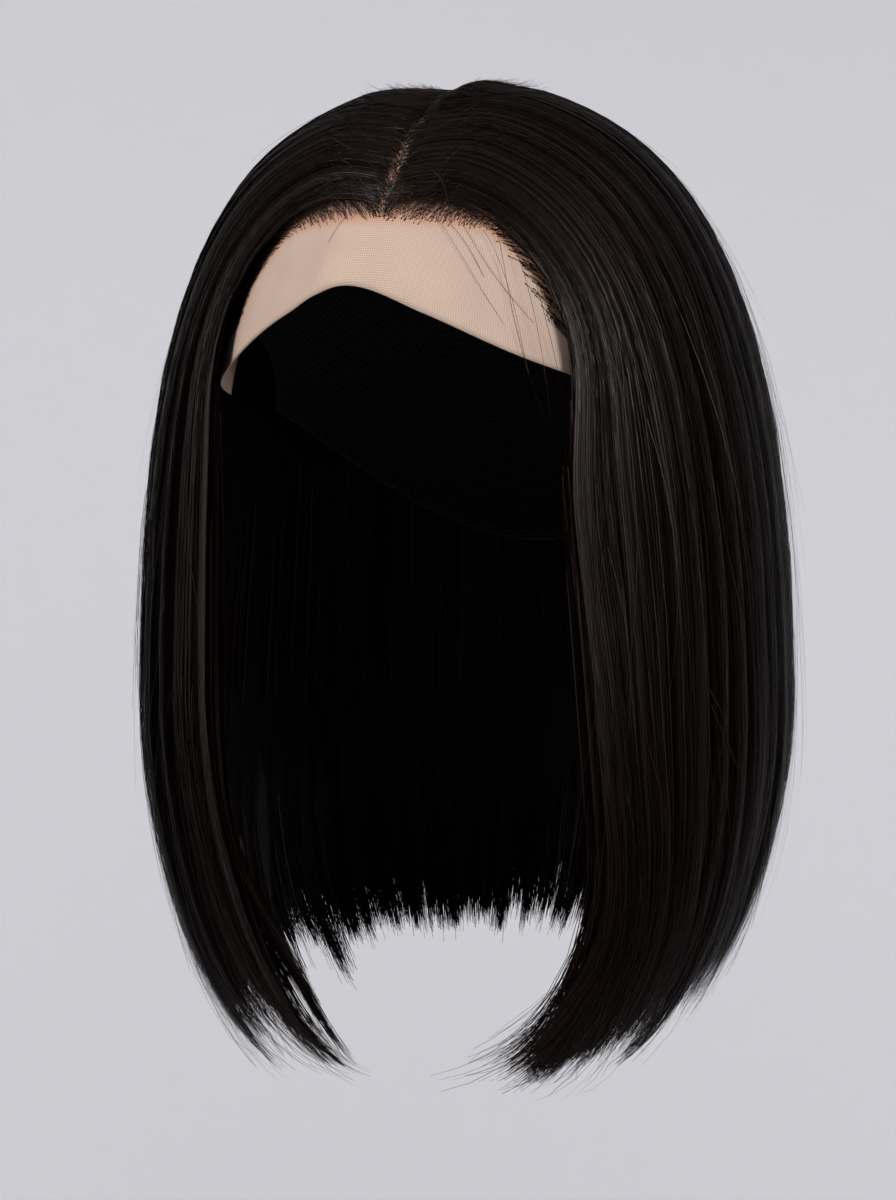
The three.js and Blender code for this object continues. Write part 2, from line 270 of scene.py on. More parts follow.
def outer_hair(around, fall):
    """The outside of full hair: a dome from the part to the fullest level, then the curl below it."""
    full, f = oval(around, HAIR_SIDE, HAIR_FRONT, HAIR_BACK), np.radians(fall)
    top = mix(root_in_plan(around), full, np.sin(np.minimum(f, np.pi / 2))[..., None])
    share = oval_share(top, HAIR_SIDE, HAIR_FRONT, HAIR_BACK)
    power = mix(CROWN_POWER_AT_TOP, CROWN_POWER_AT_SIDE, share)
    top_z = mix(HAIR_FULL_LEVEL, HAIR_TOP, np.sqrt(1 - share**power))
    low_z = HAIR_FULL_LEVEL + station(around, "drop") * np.cos(f)
    below = fall > 90
    plan = np.where(below[..., None], curled_in(full, around, fall), top)
    return np.concatenate([plan, np.where(below, low_z, top_z)[..., None]], -1)


def inner_hair(around, fall):
    """The inside of the hair: over the cap, then a curtain that hangs from its rim, then the curl."""
    reach = np.sin(np.radians(90 * np.minimum(fall, CURTAIN_START) / CURTAIN_START))
    off = CAP_THICK + mix(HAIR_GAP, HAIR_GAP_AT_EAR, reach**2)
    side, front, back = HEAD_SIDE + off, HEAD_FRONT + off, HEAD_BACK + off
    rim = oval(around, side, front, back)
    top = mix(root_in_plan(around), rim, reach[..., None])
    share = oval_share(top, side, front, back)
    top_z = -CROWN_RISE + (CROWN_RISE + off) * np.sqrt(1 - share**2)
    hang = np.clip((fall - CURTAIN_START) / (90 - CURTAIN_START), 0, 1)
    hung = rim * (1 + station(around, "flare") * smooth(hang, 0, 1))[..., None]
    hung_z = mix(-CROWN_RISE, INNER_FULL_LEVEL, hang)
    low_z = INNER_FULL_LEVEL + (station(around, "drop") - INNER_CURL_SHORT) * np.cos(np.radians(fall))
    on_cap, below = fall <= CURTAIN_START, fall > 90
    lower = np.where(below[..., None], curled_in(hung, around, fall), hung)
    plan = np.where(on_cap[..., None], top, lower)
    z = np.where(on_cap, top_z, np.where(below, low_z, hung_z))
    return np.concatenate([plan, z[..., None]], -1)


def lock_edges(body):
    i = np.arange(body["locks"] + 1)
    inner = (i > 0) & (i < body["locks"])
    uneven = np.where(inner, LOCK_UNEVEN * np.sin(LOCK_UNEVEN_TURN * i), 0)
    return mix(body["from"], body["to"], (i + uneven) / body["locks"])


def lock_place(body, around):
    """The lock that a direction is in, and how far across it."""
    edges = lock_edges(body)
    lock = np.clip(np.searchsorted(edges, around, side="right") - 1, 0, body["locks"] - 1)
    within = np.clip((around - edges[lock]) / (edges[lock + 1] - edges[lock]), 0, 1)
    return lock, within


def hair_point(body, around, fall, depth):
    """Place in the hair: depth 0 on the outside of the locks, 1 on the inside of the hair."""
    around, fall, depth = np.broadcast_arrays(around, fall, depth)
    crest = np.sin(np.pi * lock_place(body, around)[1])
    share = (body["to"] - around) / (body["to"] - body["from"])
    around = around + body["drawn"] * share**2 * smooth(fall, DRAWN_FROM, DRAWN_TO)
    warm_shade_mask = mix(ROOT_FULLNESS, 1, smooth(fall, 0, FULL_FROM_ROOT))
    relief = 1 + LOCK_RELIEF * (2 * crest - 1) * smooth(fall, 0, 90)
    fullness = station(around, "fullness") * warm_shade_mask * relief
    inner = inner_hair(around, fall)
    outside = mix(inner, outer_hair(around, fall), fullness[..., None])
    place = mix(outside, inner, depth[..., None])
    place[..., 1] += body["back"]
    return place


def fall_at(around, z):
    """Degrees of fall at which hair in a direction reaches down to z, below its fullest level."""
    cosine = np.clip((z - HAIR_FULL_LEVEL) / station(around, "drop"), LATEST_FALL_COSINE, 0)
    return np.degrees(np.arccos(cosine))


def stood_up(places):
    """Hair left of the part stands up from its roots beside the crown, before it falls to the side."""
    x, y = places[..., 0], places[..., 1]
    beside = smooth(x, *STAND_IN_X) * smooth(x, *STAND_OUT_X)
    places[..., 2] += ROOT_STAND * (beside * smooth(y, *STAND_IN_Y) * smooth(y, *STAND_OUT_Y))
    return places


def lock_tip(body, around):
    """Height of the tips: lowest in the middle of a lock, and each lock its own."""
    lock, within = lock_place(body, around)
    crest = np.sin(np.pi * within)
    stagger = LOCK_STAGGER * np.sin(LOCK_STAGGER_TURN * lock + body["from"]) * crest
    return station(around, "tip_z") + LOCK_POINT * (1 - crest) + stagger


def head_point(across, rise, off):
    """Place off the form inside the cap, by the angle across it and the angle up and over it."""
    a, r = np.radians(across), np.radians(rise)
    deep = np.where(np.cos(r) > 0, HEAD_FRONT, HEAD_BACK)
    high = np.where(np.sin(r) > 0, CROWN_RISE, NAPE_FALL)
    x = (HEAD_SIDE + off) * np.sin(a)
    y = -(deep + off) * np.cos(a) * np.cos(r)
    z = -CROWN_RISE + (high + off) * np.cos(a) * np.sin(r)
    return np.stack([x, y, z], -1)


def head_height(x, y, off):
    deep = np.where(y < 0, HEAD_FRONT, HEAD_BACK) + off
    share = np.minimum(1, (x / (HEAD_SIDE + off)) ** 2 + (y / deep) ** 2)
    return -CROWN_RISE + (CROWN_RISE + off) * np.sqrt(1 - share)


def mesh_object(name, points, quads, uv, stuff):
    """A mesh from arrays: points in millimetres, four-sided faces, and the map of each face's corners."""
    mesh = bpy.data.meshes.new(name)
    mesh.vertices.add(len(points))
    mesh.vertices.foreach_set("co", (points * MM).astype(np.float32).ravel())
    mesh.loops.add(4 * len(quads))
    mesh.loops.foreach_set("vertex_index", quads.astype(np.int32).ravel())
    mesh.polygons.add(len(quads))
    mesh.polygons.foreach_set("loop_start", (4 * np.arange(len(quads))).astype(np.int32))
    mesh.update(calc_edges=True)
    layer = mesh.uv_layers.new(name=MAP_NAME)
    layer.uv.foreach_set("vector", uv.astype(np.float32).ravel())
    mesh.shade_smooth()
    mesh.materials.append(stuff)
    thing = bpy.data.objects.new(name, mesh)
    bpy.context.scene.collection.objects.link(thing)
    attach(thing, "root")
    return thing


def mark_points(thing, name, values):
    """Gives each point of a mesh a value that its material reads."""
    shade = thing.data.attributes.new(name, "FLOAT", "POINT")
    shade.data.foreach_set("value", values.astype(np.float32))


def strand_piece(name, paths, wide, tone, taper=0.6, turned=0.34):
    """Strands as thin ribbons that taper to their tips, each turned its own way."""
    count, steps, _ = paths.shape
    ahead = np.gradient(paths, axis=1)
    ahead /= np.linalg.norm(ahead, axis=2, keepdims=True) + TINY
    middle = np.zeros_like(paths)
    middle[..., 2] = np.minimum(paths[..., 2], -CROWN_RISE)
    out = paths - middle
    out -= (out * ahead).sum(2, keepdims=True) * ahead
    out /= np.linalg.norm(out, axis=2, keepdims=True) + TINY
    roll = rng.normal(0, turned, (count, 1, 1))
    side = np.cross(ahead, out) * np.cos(roll) + out * np.sin(roll)
    run = np.linspace(0, 1, steps)
    half = (0.5 * wide[:, None] * (1 - taper * run**4))[..., None]
    ring = np.stack([paths + half * side, paths - half * side], 2)
    s, j = np.meshgrid(np.arange(count), np.arange(steps - 1), indexing="ij")
    base = 2 * (s * steps + j)
    quads = np.stack([base, base + 1, base + 3, base + 2], -1).reshape(-1, 4)
    # Each strand has a cell of the map to itself
    cells = math.ceil(math.sqrt(count))
    corner_u = np.array([0.1, 0.9, 0.9, 0.1]) + 0 * base[..., None]
    corner_v = 0.05 + 0.9 * np.stack([j, j, j + 1, j + 1], -1) / (steps - 1)
    uv = np.stack([(s % cells)[..., None] + corner_u, (s // cells)[..., None] + corner_v], -1) / cells
    thing = mesh_object(name, ring.reshape(-1, 3), quads, uv.reshape(-1, 4, 2), strand_hair)
    # A strand is darker in its lower half, which is painted shade, and paler at its very tip, which is
    # painted light on the thin ends
    shade = np.clip(tone[:, None] * (1 - 0.3 * smooth(run, 0.5, 0.75)) + 0.15 * run**8, 0, 1)
    mark_points(thing, "tone", np.repeat(shade.ravel(), 2))


def loft_piece(name, outside, inside, flat, stuff):
    """A closed wall between an outside and an inside grid of points, and the grid laid flat for its map."""
    columns, rows, _ = outside.shape
    count = 2 * rows
    loop = np.concatenate([outside, inside[:, ::-1]], 1)
    c, i = np.meshgrid(np.arange(columns - 1), np.arange(count), indexing="ij")
    j = (i + 1) % count
    here, there = c * count, (c + 1) * count
    sides = np.stack([here + i, there + i, there + j, here + j], -1).reshape(-1, 4)
    r = np.arange(rows - 1)
    first = np.stack([r, r + 1, count - 2 - r, count - 1 - r], -1)
    last = (columns - 1) * count + first[:, ::-1]
    # On the map the inside lies above the outside, and each rim is a narrow strip along it
    above = (flat - flat.reshape(-1, 2).min(0) + MAP_MARGIN) / MAP_SIZE
    corner = np.concatenate([above, above[:, ::-1] + [0, 0.5]], 1)
    uv_sides = corner.reshape(-1, 2)[sides].reshape(columns - 1, count, 4, 2)
    for edge, step in ((rows - 1, MAP_RIM), (count - 1, -MAP_RIM)):
        uv_sides[:, edge] = uv_sides[:, edge][:, [0, 1, 1, 0]]
        uv_sides[:, edge, 2:, 1] += step
    uv_ends = []
    for column, step in ((0, -MAP_RIM), (columns - 1, MAP_RIM)):
        low, high = above[column, r], above[column, r + 1]
        strip = np.stack([low, high, high, low], 1)
        strip[:, 2:, 0] += step
        uv_ends.append(strip)
    uv = np.concatenate([uv_sides.reshape(-1, 4, 2), uv_ends[0], uv_ends[1][:, ::-1]])
    thing = mesh_object(name, loop.reshape(-1, 3), np.concatenate([sides, first, last]), uv, stuff)
    return thing


def linear(code):
    """An sRGB hex colour as linear red, green, blue and alpha."""
    parts = [int(code[i : i + 2], 16) / 255 for i in (1, 3, 5)]
    return [p / 12.92 if p <= 0.04045 else ((p + 0.055) / 1.055) ** 2.4 for p in parts] + [1]


def set_sockets(tree, node, sockets):
    """Sets a node's sockets to values, or links them from other nodes."""
    for name, value in sockets.items():
        if isinstance(value, bpy.types.NodeSocket):
            tree.links.new(value, node.inputs[name])
        else:
            node.inputs[name].default_value = value


def add(tree, kind, sockets=None, stops=(), **settings):
    """A node with its settings, its sockets set or linked, and a ramp's colour stops, both ends first."""
    node = tree.nodes.new(kind)
    for name, value in settings.items():
        setattr(node, name, value)
    set_sockets(tree, node, sockets or {})
    for i, (place, code) in enumerate(stops):
        stop = node.color_ramp.elements[i] if i < 2 else node.color_ramp.elements.new(place)
        stop.position, stop.color = place, linear(code)
    return node


def material(name):
    made = bpy.data.materials.new(name)
    made.use_nodes = True
    return made, made.node_tree, made.node_tree.nodes["Principled BSDF"]


def hair_strand_material():
    """Off-black human hair, dyed and silked: each strand its own brown-black, the paler ones shinier."""
    made, tree, shader = material("off_black_hair_strands")
    tone = add(tree, "ShaderNodeAttribute", attribute_name="tone").outputs["Fac"]
    shades = [(0.0, "#070302"), (1.0, "#362219"), (0.55, "#140b08"), (0.85, "#20140e")]
    colour = add(tree, "ShaderNodeValToRGB", {"Fac": tone}, stops=shades).outputs["Color"]
    sheens = {"Value": tone, "From Max": 0.7, "To Min": 0.026, "To Max": 0.19}
    sheen = add(tree, "ShaderNodeMapRange", sheens).outputs["Result"]
    looks = {"Base Color": colour, "IOR": HAIR_IOR, "Roughness": 0.4, "Specular IOR Level": sheen}
    set_sockets(tree, shader, looks)
    return made


def hair_close_material():
    """The same hair lying close together: streaks of a few strands down its fall, with painted shade between
    them.
    """
    made, tree, shader = material("off_black_hair_close")
    place = add(tree, "ShaderNodeUVMap", uv_map=MAP_NAME).outputs["UV"]
    scale = (MAP_SIZE / STREAK_WIDE, MAP_SIZE / STREAK_LONG, 1)
    stretched = add(tree, "ShaderNodeMapping", {"Vector": place, "Scale": scale}).outputs["Vector"]
    noise = {"Vector": stretched, "Scale": 1.0, "Detail": 3}
    streaks = add(tree, "ShaderNodeTexNoise", noise).outputs["Fac"]
    # The darker stop is painted shade between the streaks
    shades = [(0.3, "#030202"), (0.75, "#0a0807")]
    colour = add(tree, "ShaderNodeValToRGB", {"Fac": streaks}, stops=shades).outputs["Color"]
    relief = {"Height": streaks, "Strength": 0.6, "Distance": 0.0006}
    bump = add(tree, "ShaderNodeBump", relief).outputs["Normal"]
    looks = {"Base Color": colour, "IOR": HAIR_IOR, "Roughness": 0.5, "Specular IOR Level": 0.09}
    set_sockets(tree, shader, looks | {"Normal": bump})
    return made


def net_pattern(tree, square, thread, offset):
    """A net on a cloth's map, 1 on its threads and 0 in its holes, and the map in millimetres."""
    place = add(tree, "ShaderNodeUVMap", uv_map=MAP_NAME).outputs["UV"]
    scale = (MAP_SIZE, MAP_SIZE, 1)
    scaled = add(tree, "ShaderNodeMapping", {"Vector": place, "Scale": scale}).outputs["Vector"]
    squares = {"Vector": scaled, "Scale": 1.0, "Brick Width": square, "Row Height": square}
    threads = {"Mortar Size": thread, "Mortar Smooth": 0.6}
    return add(tree, "ShaderNodeTexBrick", squares | threads, offset=offset).outputs["Fac"], scaled


def lace_material():
    """Flesh-coloured nylon net, woven in squares: a matte tan, a little seen through between its threads."""
    made, tree, shader = material("flesh_lace_net")
    net, place = net_pattern(tree, LACE_SQUARE, LACE_THREAD, 0.0)
    noise = {"Vector": place, "Scale": 1 / LACE_PATCH, "Detail": 2}
    patch = add(tree, "ShaderNodeTexNoise", noise).outputs["Fac"]
    hole_shades, thread_shades = [(0.3, "#ae9b8f"), (0.7, "#b5a296")], [(0.3, "#b8a69a"), (0.7, "#bfada1")]
    hole = add(tree, "ShaderNodeValToRGB", {"Fac": patch}, stops=hole_shades).outputs["Color"]
    thread = add(tree, "ShaderNodeValToRGB", {"Fac": patch}, stops=thread_shades).outputs["Color"]
    woven = {MIX_FACTOR: net, MIX_A: hole, MIX_B: thread}
    colour = add(tree, "ShaderNodeMix", woven, data_type="RGBA").outputs[MIX_RESULT]
    # Painted warm shade: the lace between the root hairs is multiplied darker and warmer
    warm_shade_mask = add(tree, "ShaderNodeAttribute", attribute_name="painted_warm_shade").outputs["Fac"]
    tint = {MIX_FACTOR: warm_shade_mask, MIX_A: colour, MIX_B: linear("#fbdac9")}
    warm_shaded = add(tree, "ShaderNodeMix", tint, data_type="RGBA", blend_type="MULTIPLY").outputs[MIX_RESULT]
    cover = add(tree, "ShaderNodeMapRange", {"Value": net, "To Min": 0.84, "To Max": 1.0}).outputs["Result"]
    relief = {"Height": net, "Strength": 0.25, "Distance": 0.0002}
    bump = add(tree, "ShaderNodeBump", relief).outputs["Normal"]
    looks = {"Base Color": warm_shaded, "IOR": NYLON_IOR, "Roughness": 0.75, "Specular IOR Level": 0.18}
    set_sockets(tree, shader, looks | {"Alpha": cover, "Normal": bump})
    return made


def cap_material():
    """Black nylon stretch net, knitted, matte, its squares drawn coarser than the real ones to show."""
    made, tree, shader = material("black_stretch_net")
    net, _ = net_pattern(tree, CAP_SQUARE, CAP_THREAD, 0.5)
    shades = [(0.0, "#0d0b0b"), (1.0, "#2b2624")]
    colour = add(tree, "ShaderNodeValToRGB", {"Fac": net}, stops=shades).outputs["Color"]
    relief = {"Height": net, "Strength": 0.8, "Distance": 0.0005}
    bump = add(tree, "ShaderNodeBump", relief).outputs["Normal"]
    looks = {"Base Color": colour, "IOR": NYLON_IOR, "Roughness": 0.85, "Specular IOR Level": 0.18}
    set_sockets(tree, shader, looks | {"Normal": bump})
    return made


strand_hair, close_hair = hair_strand_material(), hair_close_material()


def cloth_wall(name, low_edge, high_edge, thick, off, columns, rows, stuff):
    """A cloth wall over part of the form inside the cap, between two edges that are curves across it."""
    across = np.linspace(EAR_ACROSS, -EAR_ACROSS, columns)[:, None]
    share = np.linspace(0, 1, rows)[None, :]
    rise = mix(low_edge(across), high_edge(across), share)
    across = np.broadcast_to(across, rise.shape)
    outside = head_point(across, rise, off(across, rise) + thick)
    inside = head_point(across, rise, off(across, rise))
    middle = (low_edge(0.0) + high_edge(0.0)) / 2
    flat_x = FLAT_RADIUS_ACROSS * np.radians(across)
    flat_y = FLAT_RADIUS_RISE * np.radians(rise - middle) * np.cos(np.radians(across))
    return loft_piece(name, outside, inside, np.stack([flat_x, flat_y], -1), stuff)


def lace_lift(across, rise):
    """The soft buckle beside the lace's peak, and its loose right end."""
    total = 0 * rise
    for bump in LACE_LIFTS:
        reach = ((across - bump["across"]) / bump["wide"]) ** 2 + ((rise - bump["rise"]) / bump["high"]) ** 2
        total = total + bump["lift"] * np.exp(-reach)
    return total


def lace_crease(across, rise):
    """A soft fold line in the lace, from its free edge up beside the peak."""
    start, end = np.array(LACE_FOLD["start"]), np.array(LACE_FOLD["end"])
    length = np.hypot(*(end - start))
    ahead = (end - start) / length
    along_line = (across - start[0]) * ahead[0] + (rise - start[1]) * ahead[1]
    aside = (across - start[0]) * ahead[1] - (rise - start[1]) * ahead[0]
    step = LACE_FOLD["step"] * smooth(aside, 1.4, -0.6) * smooth(aside, -7, -1)
    return step * smooth(along_line, length, 0.4 * length) * smooth(along_line, -6, 0)


def lace_off(across, rise):
    return lace_lift(across, rise) + lace_crease(across, rise) + LACE_OFF


def cap_off(across, rise):
    return CAP_OFF + 0 * rise


def lace_edge(across):
    return along(LACE_EDGE, "across", across, "rise")


def seam(across):
    return mix(SEAM_RISE, SEAM_RISE_AT_EAR, (across / EAR_ACROSS) ** 2)


def cap_front(across):
    return seam(across) + CAP_SEAM_SPACE


def nape_edge(across):
    return mix(NAPE_RISE, NAPE_RISE_AT_EAR, (across / EAR_ACROSS) ** 2)


def hairline():
    """The hairline from the part to its end at the side, as the cloth's two angles."""
    reach = np.sin(np.radians(np.linspace(0, LINE_LAST_FALL, LINE_STEPS)))
    rim = oval(np.array(float(FRONT_EDGE)), HEAD_SIDE, HEAD_FRONT, HEAD_BACK)
    x, y = mix(LINE_PEAK_X, rim[0], reach), mix(LINE_PEAK_Y, rim[1], reach)
    y = y - LINE_BOW * np.sin(np.pi * np.minimum(reach / LINE_BOW_REACH, 1))
    across = np.degrees(np.arcsin(x / HEAD_SIDE))
    rise = np.degrees(np.arccos(np.clip(-y / (HEAD_FRONT * np.cos(np.radians(across))), -1, 1)))
    return across, rise


LINE_ACROSS, LINE_RISE = hairline()
LINE_PLACE = np.linspace(0, 1, LINE_STEPS)


def mark_painted_warm_shade(cloth):
    """Marks the lace from the hairline back, where root hairs stand on it, for its painted warm shade."""
    places = np.array([vertex.co for vertex in cloth.data.vertices]) / MM
    across = np.degrees(np.arcsin(np.clip(places[:, 0] / HEAD_SIDE, -1, 1)))
    rise = np.degrees(np.arctan2((places[:, 2] + CROWN_RISE) / CROWN_RISE, -places[:, 1] / HEAD_FRONT))
    ahead = np.interp(np.abs(across), LINE_ACROSS, LINE_RISE) - rise
    mark_points(cloth, "painted_warm_shade", smooth(ahead, *WARM_SHADE_AHEAD))


# The lace front and the cap
lace = cloth_wall(
    "lace_front_net", lace_edge, seam, LACE_WALL, lace_off, LACE_COLUMNS, LACE_ROWS, lace_material()
)
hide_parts("lace_front")
# Painted warm shade on the lace behind the hairline
mark_painted_warm_shade(lace)
cap = cloth_wall(
    "cap_stretch_net", cap_front, nape_edge, CAP_WALL, cap_off, CAP_COLUMNS, CAP_ROWS, cap_material()
)
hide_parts("cap_net")


def hair_mass(body):
    """The body of the hair under its outer strands, behind the hairline and shorter at the tips."""
    share = np.linspace(0, 1, CLOSE_ROWS)[None, :]
    behind = mix(*CLOSE_BEHIND, smooth(share, 0.15, 0.45))
    start = body["from"] + (behind if body["from"] == FRONT_EDGE else 0 * behind)
    end = body["to"] - (behind if body["to"] == RIGHT_FRONT else 0 * behind)
    columns = CLOSE_COLUMNS_ON_LOCK * body["locks"] + 1
    around = mix(start, end, np.linspace(0, 1, columns)[:, None])
    tip = fall_at(around, lock_tip(body, around) + CLOSE_SHORTER)
    fall = mix(CLOSE_START, tip, share)
    outer_depth = mix(*CLOSE_OUTSIDE, smooth(share, 0.75, 1.0))
    inner_depth = mix(*CLOSE_INSIDE, smooth(share, 0.8, 1.0))
    outside = stood_up(hair_point(body, around, fall, outer_depth))
    inside = hair_point(body, around, fall, inner_depth)
    flat = np.stack([CLOSE_MM_AROUND * around, CLOSE_MM_FALL * fall], -1)
    return loft_piece(body["name"] + "_close", outside, inside, flat, close_hair)


def wisp_table(body, count, ragged):
    """Wisps side by side round a body of hair: where each is, and how it differs from its neighbours."""
    wide = rng.uniform(0.35, 1.65, count)
    edges = mix(body["from"], body["to"], np.concatenate([[0], np.cumsum(wide)]) / wide.sum())
    return {
        "edges": edges,
        "centre": (edges[1:] + edges[:-1]) / 2 + rng.normal(0, 0.25, count) * np.diff(edges),
        "tone": rng.normal(0, 0.09, count),
        "deep": rng.uniform(0.0, 0.4, count),
        "tip": ragged * np.clip(rng.normal(0, 1, count), -1.3, 1.6),
        "tight": rng.uniform(0.1, 0.95, count),
    }


def wisp_of(wisps, around):
    return np.clip(np.searchsorted(wisps["edges"], around, side="right") - 1, 0, len(wisps["centre"]) - 1)


# Where the points of a strand lie along it, closer together where it bends most
PART_FALLS = [0, 1.5, 3.5, 6, 9, 12.5, 16, 20, 24, 28, 32, 36.5, 41]
PART_FALLS += [46, 51, 57, 64, 73, 84, 95, 105, 114, 123, 132, 141, 150]
PART_PROFILE = np.array(PART_FALLS) / PART_FALLS[-1]
CAP_PROFILE = np.array([0, 0.06, 0.14, 0.24, 0.36, 0.49, 0.6, 0.7, 0.79, 0.87, 0.94, 1])
UNDER_PROFILE = np.array([0, 0.2, 0.4, 0.55, 0.68, 0.8, 0.9, 1])


def fall_paths(body, around, depth, start, shorter, profile, wisps, fine):
    """Paths of strands down the hair, which draw together into fine wisps and then wide ones at the tips."""
    count = len(around)
    form = LOOSE[body["name"]]
    at_front = np.clip((FRONT_EDGE + FRONT_REACH - folded(around)) / FRONT_REACH, 0, 1)
    ragged = 1 + 0.8 * at_front - 0.6 * form["even"]
    wide, thin = wisp_of(wisps, around), wisp_of(fine, around)

    # Where each strand ends: at the tip of its lock or on the cut line, with its wisps' own raggedness
    cut = station(wisps["centre"][wide], "tip_z") + CUT_ABOVE
    tip_z = mix(lock_tip(body, wisps["centre"][wide]), cut, form["even"]) + shorter
    uneven = ragged * (wisps["tip"][wide] * (1 + at_front) + fine["tip"][thin])
    tip_z = tip_z + np.maximum(uneven, -LONGEST)
    tip = np.minimum(fall_at(around, tip_z), rng.uniform(*form["ends"], count))[:, None]

    # How far down each of its points is, shifted a little so that the points of neighbours don't line up
    shift = np.where(profile < 0.1, 0.45, 0.15) * np.gradient(profile) * (profile > 0) * (profile < 1)
    jitter = rng.uniform(-1, 1, (count, 1)) * shift
    fall = mix(start[:, None], tip, profile + jitter)

    # Its direction: a slow sway, the pull of its wisps, a scatter at the tips and the spread of the front
    drawing = np.clip((fall - DRAW_TOGETHER_FROM) / (tip - DRAW_TOGETHER_FROM + 1e-6), 0, 1) ** 1.5
    turns = rng.uniform(0.5, 1.3, (count, 1)) * profile + rng.random((count, 1))
    sway = rng.normal(0, SWAY, (count, 1)) * np.sin(2 * np.pi * turns) * smooth(fall, *SWAY_IN)
    gather = rng.uniform(0.25, 0.95, count) * fine["tight"][thin] ** 0.5 * (1 - 0.75 * form["even"])
    single = rng.random(count) < SINGLE_SHARE
    gather = np.where(single, 0, gather)[:, None] * drawing
    target = mix(fine["centre"][thin], wisps["centre"][wide], 0.7 * wisps["tight"][wide])
    path_around = mix(around[:, None] + sway, target[:, None], gather)
    path_around = path_around + rng.normal(0, TIP_SCATTER, (count, 1)) * ragged[:, None] * drawing**2
    spread = mix(*form["spread"], smooth(fall, *SPREAD_LOW_IN)) * at_front[:, None] * smooth(fall, *SPREAD_IN)
    path_around = path_around - np.where(around > 180, -1, 1)[:, None] * spread
    low = body["from"] - (PAST_FRONT if body["from"] == FRONT_EDGE else PAST_BODY)
    high = body["to"] + (PAST_FRONT if body["to"] == RIGHT_FRONT else PAST_BODY)

    # Its depth: its own below the roots, and its wisp's at the tips
    deep = np.where(single, rng.uniform(-0.35, 0.1, count), wisps["deep"][wide])
    lying = depth[:, None] * mix(0.4, 1, smooth(fall, *SINK_IN))
    lying = lying - SWELL * smooth(fall, *SWELL_IN) * smooth(fall, *SWELL_OUT)
    lying = lying - form["fuller"] * smooth(fall, *FULLER_IN) * smooth(fall, *FULLER_OUT)
    path_depth = mix(lying, deep[:, None], 0.65 * drawing)

    paths = stood_up(hair_point(body, np.clip(path_around, low, high), fall, path_depth))
    paths[..., 2] -= form["longer"] * at_front[:, None] * smooth(fall, *LONGER_IN)
    return paths


def tinted(around, wisps, fine, kind):
    """Tone of each strand: its wisp's, its own, and now and then a paler one, which is a painted highlight.
    """
    tone = STRANDS[kind]["tone"] + wisps["tone"][wisp_of(wisps, around)] + fine["tone"][wisp_of(fine, around)]
    # Paler strands are painted highlights
    paler = PAINTED_HIGHLIGHT * (rng.random(len(around)) < PAINTED_HIGHLIGHT_SHARE)
    return np.clip(tone + rng.normal(0, TONE_SPREAD, len(around)) + paler, 0, 0.95)


def varied(kind, value, size):
    """Random values between the two that the table has for a kind of strand."""
    return rng.uniform(*STRANDS[kind][value], size)


def shortening(count, share, usual):
    """How much shorter strands are than their wisp: a little either way, and a share of them a good deal."""
    return np.where(rng.random(count) < share, rng.exponential(usual, count), rng.normal(0, 2, count))


def part_strands(body, wisps, fine):
    """The strands on top, from the part and the hairline down to the tips."""
    count = STRANDS["part"]["count"]
    around = rng.uniform(body["from"], body["to"], count)
    if body["name"] != "hair_back":
        edge = count // PART_EDGE_ONE_IN
        around[:edge] = from_front(body, PART_EDGE_REACH * rng.random(edge) ** 1.3)
    left_around = folded(around)
    depth = mix(*STRANDS["part"]["depth"], rng.random(count) ** 1.4)
    root_y = station(around, "root_y")
    half_part = mix(*OPEN_PART, smooth(root_y, *OPEN_PART_Y)) + ROOT_BAND * rng.random(count) ** 0.45
    start = np.degrees((half_part - PART_HALF) / (HAIR_SIDE * np.sin(np.radians(left_around))))
    start = mix(start, rng.uniform(*CROWN_START, count), smooth(root_y, *CROWN_START_Y))
    start = start + np.where(left_around > WHORL_FROM, rng.uniform(*WHORL_START, count), 0)
    before_line = np.clip((FRONT_EDGE + LINE_BEFORE - left_around) / LINE_BEFORE, 0, 1)
    at_line = LINE_START * before_line + rng.uniform(*LINE_START_MORE, count)
    start = np.where(before_line > 0, at_line, start)
    shorter = shortening(count, 0.2, 8)
    paths = fall_paths(body, around, depth, start, shorter, PART_PROFILE, wisps, fine)
    paths[:, 0, 2] -= ROOT_SUNK
    tone = tinted(around, wisps, fine, "part")
    strand_piece(body["name"] + "_strands", paths, varied("part", "wide", count), tone, turned=0.2)


def cap_strands(body, wisps, fine):
    """Strands from lower on the cap, which come out from under those of the part."""
    count = STRANDS["cap"]["count"]
    around = rng.uniform(body["from"], body["to"], count)
    start = varied("cap", "start", count)
    shorter = shortening(count, 0.3, 7)
    depth = varied("cap", "depth", count)
    paths = fall_paths(body, around, depth, start, shorter, CAP_PROFILE, wisps, fine)
    tone = tinted(around, wisps, fine, "cap")
    strand_piece(body["name"] + "_cap_strands", paths, varied("cap", "wide", count), tone)


def under_strands(body, wisps, fine):
    """Strands of the inside of the hair, and of the ends that show below it."""
    count = STRANDS["under"]["count"]
    around = rng.uniform(body["from"], body["to"], count)
    edge = count // UNDER_EDGE_ONE_IN
    if body["name"] != "hair_back":
        around[:edge] = from_front(body, rng.uniform(*UNDER_EDGE_REACH, edge))
    depth = varied("under", "depth", count)
    start = varied("under", "start", count)
    shorter = rng.exponential(5, count)
    paths = fall_paths(body, around, depth, start, shorter, UNDER_PROFILE, wisps, fine)
    # The ends of the right front edge are tucked inwards, wisp by wisp
    if body["name"] == "hair_right":
        tucked = rng.uniform(*TUCK, len(wisps["centre"]))
        tuck = (tucked[wisp_of(wisps, around[:edge])] * rng.uniform(*TUCK_OWN, edge))[:, None]
        paths[:edge, :, 0] *= 1 - tuck * smooth(paths[:edge, :, 2], *TUCK_HEIGHTS)
    tone = STRANDS["under"]["tone"] + wisps["tone"][wisp_of(wisps, around)] + rng.normal(0, 0.12, count)
    strand_piece(body["name"] + "_under", paths, varied("under", "wide", count), np.clip(tone, 0, 0.8))


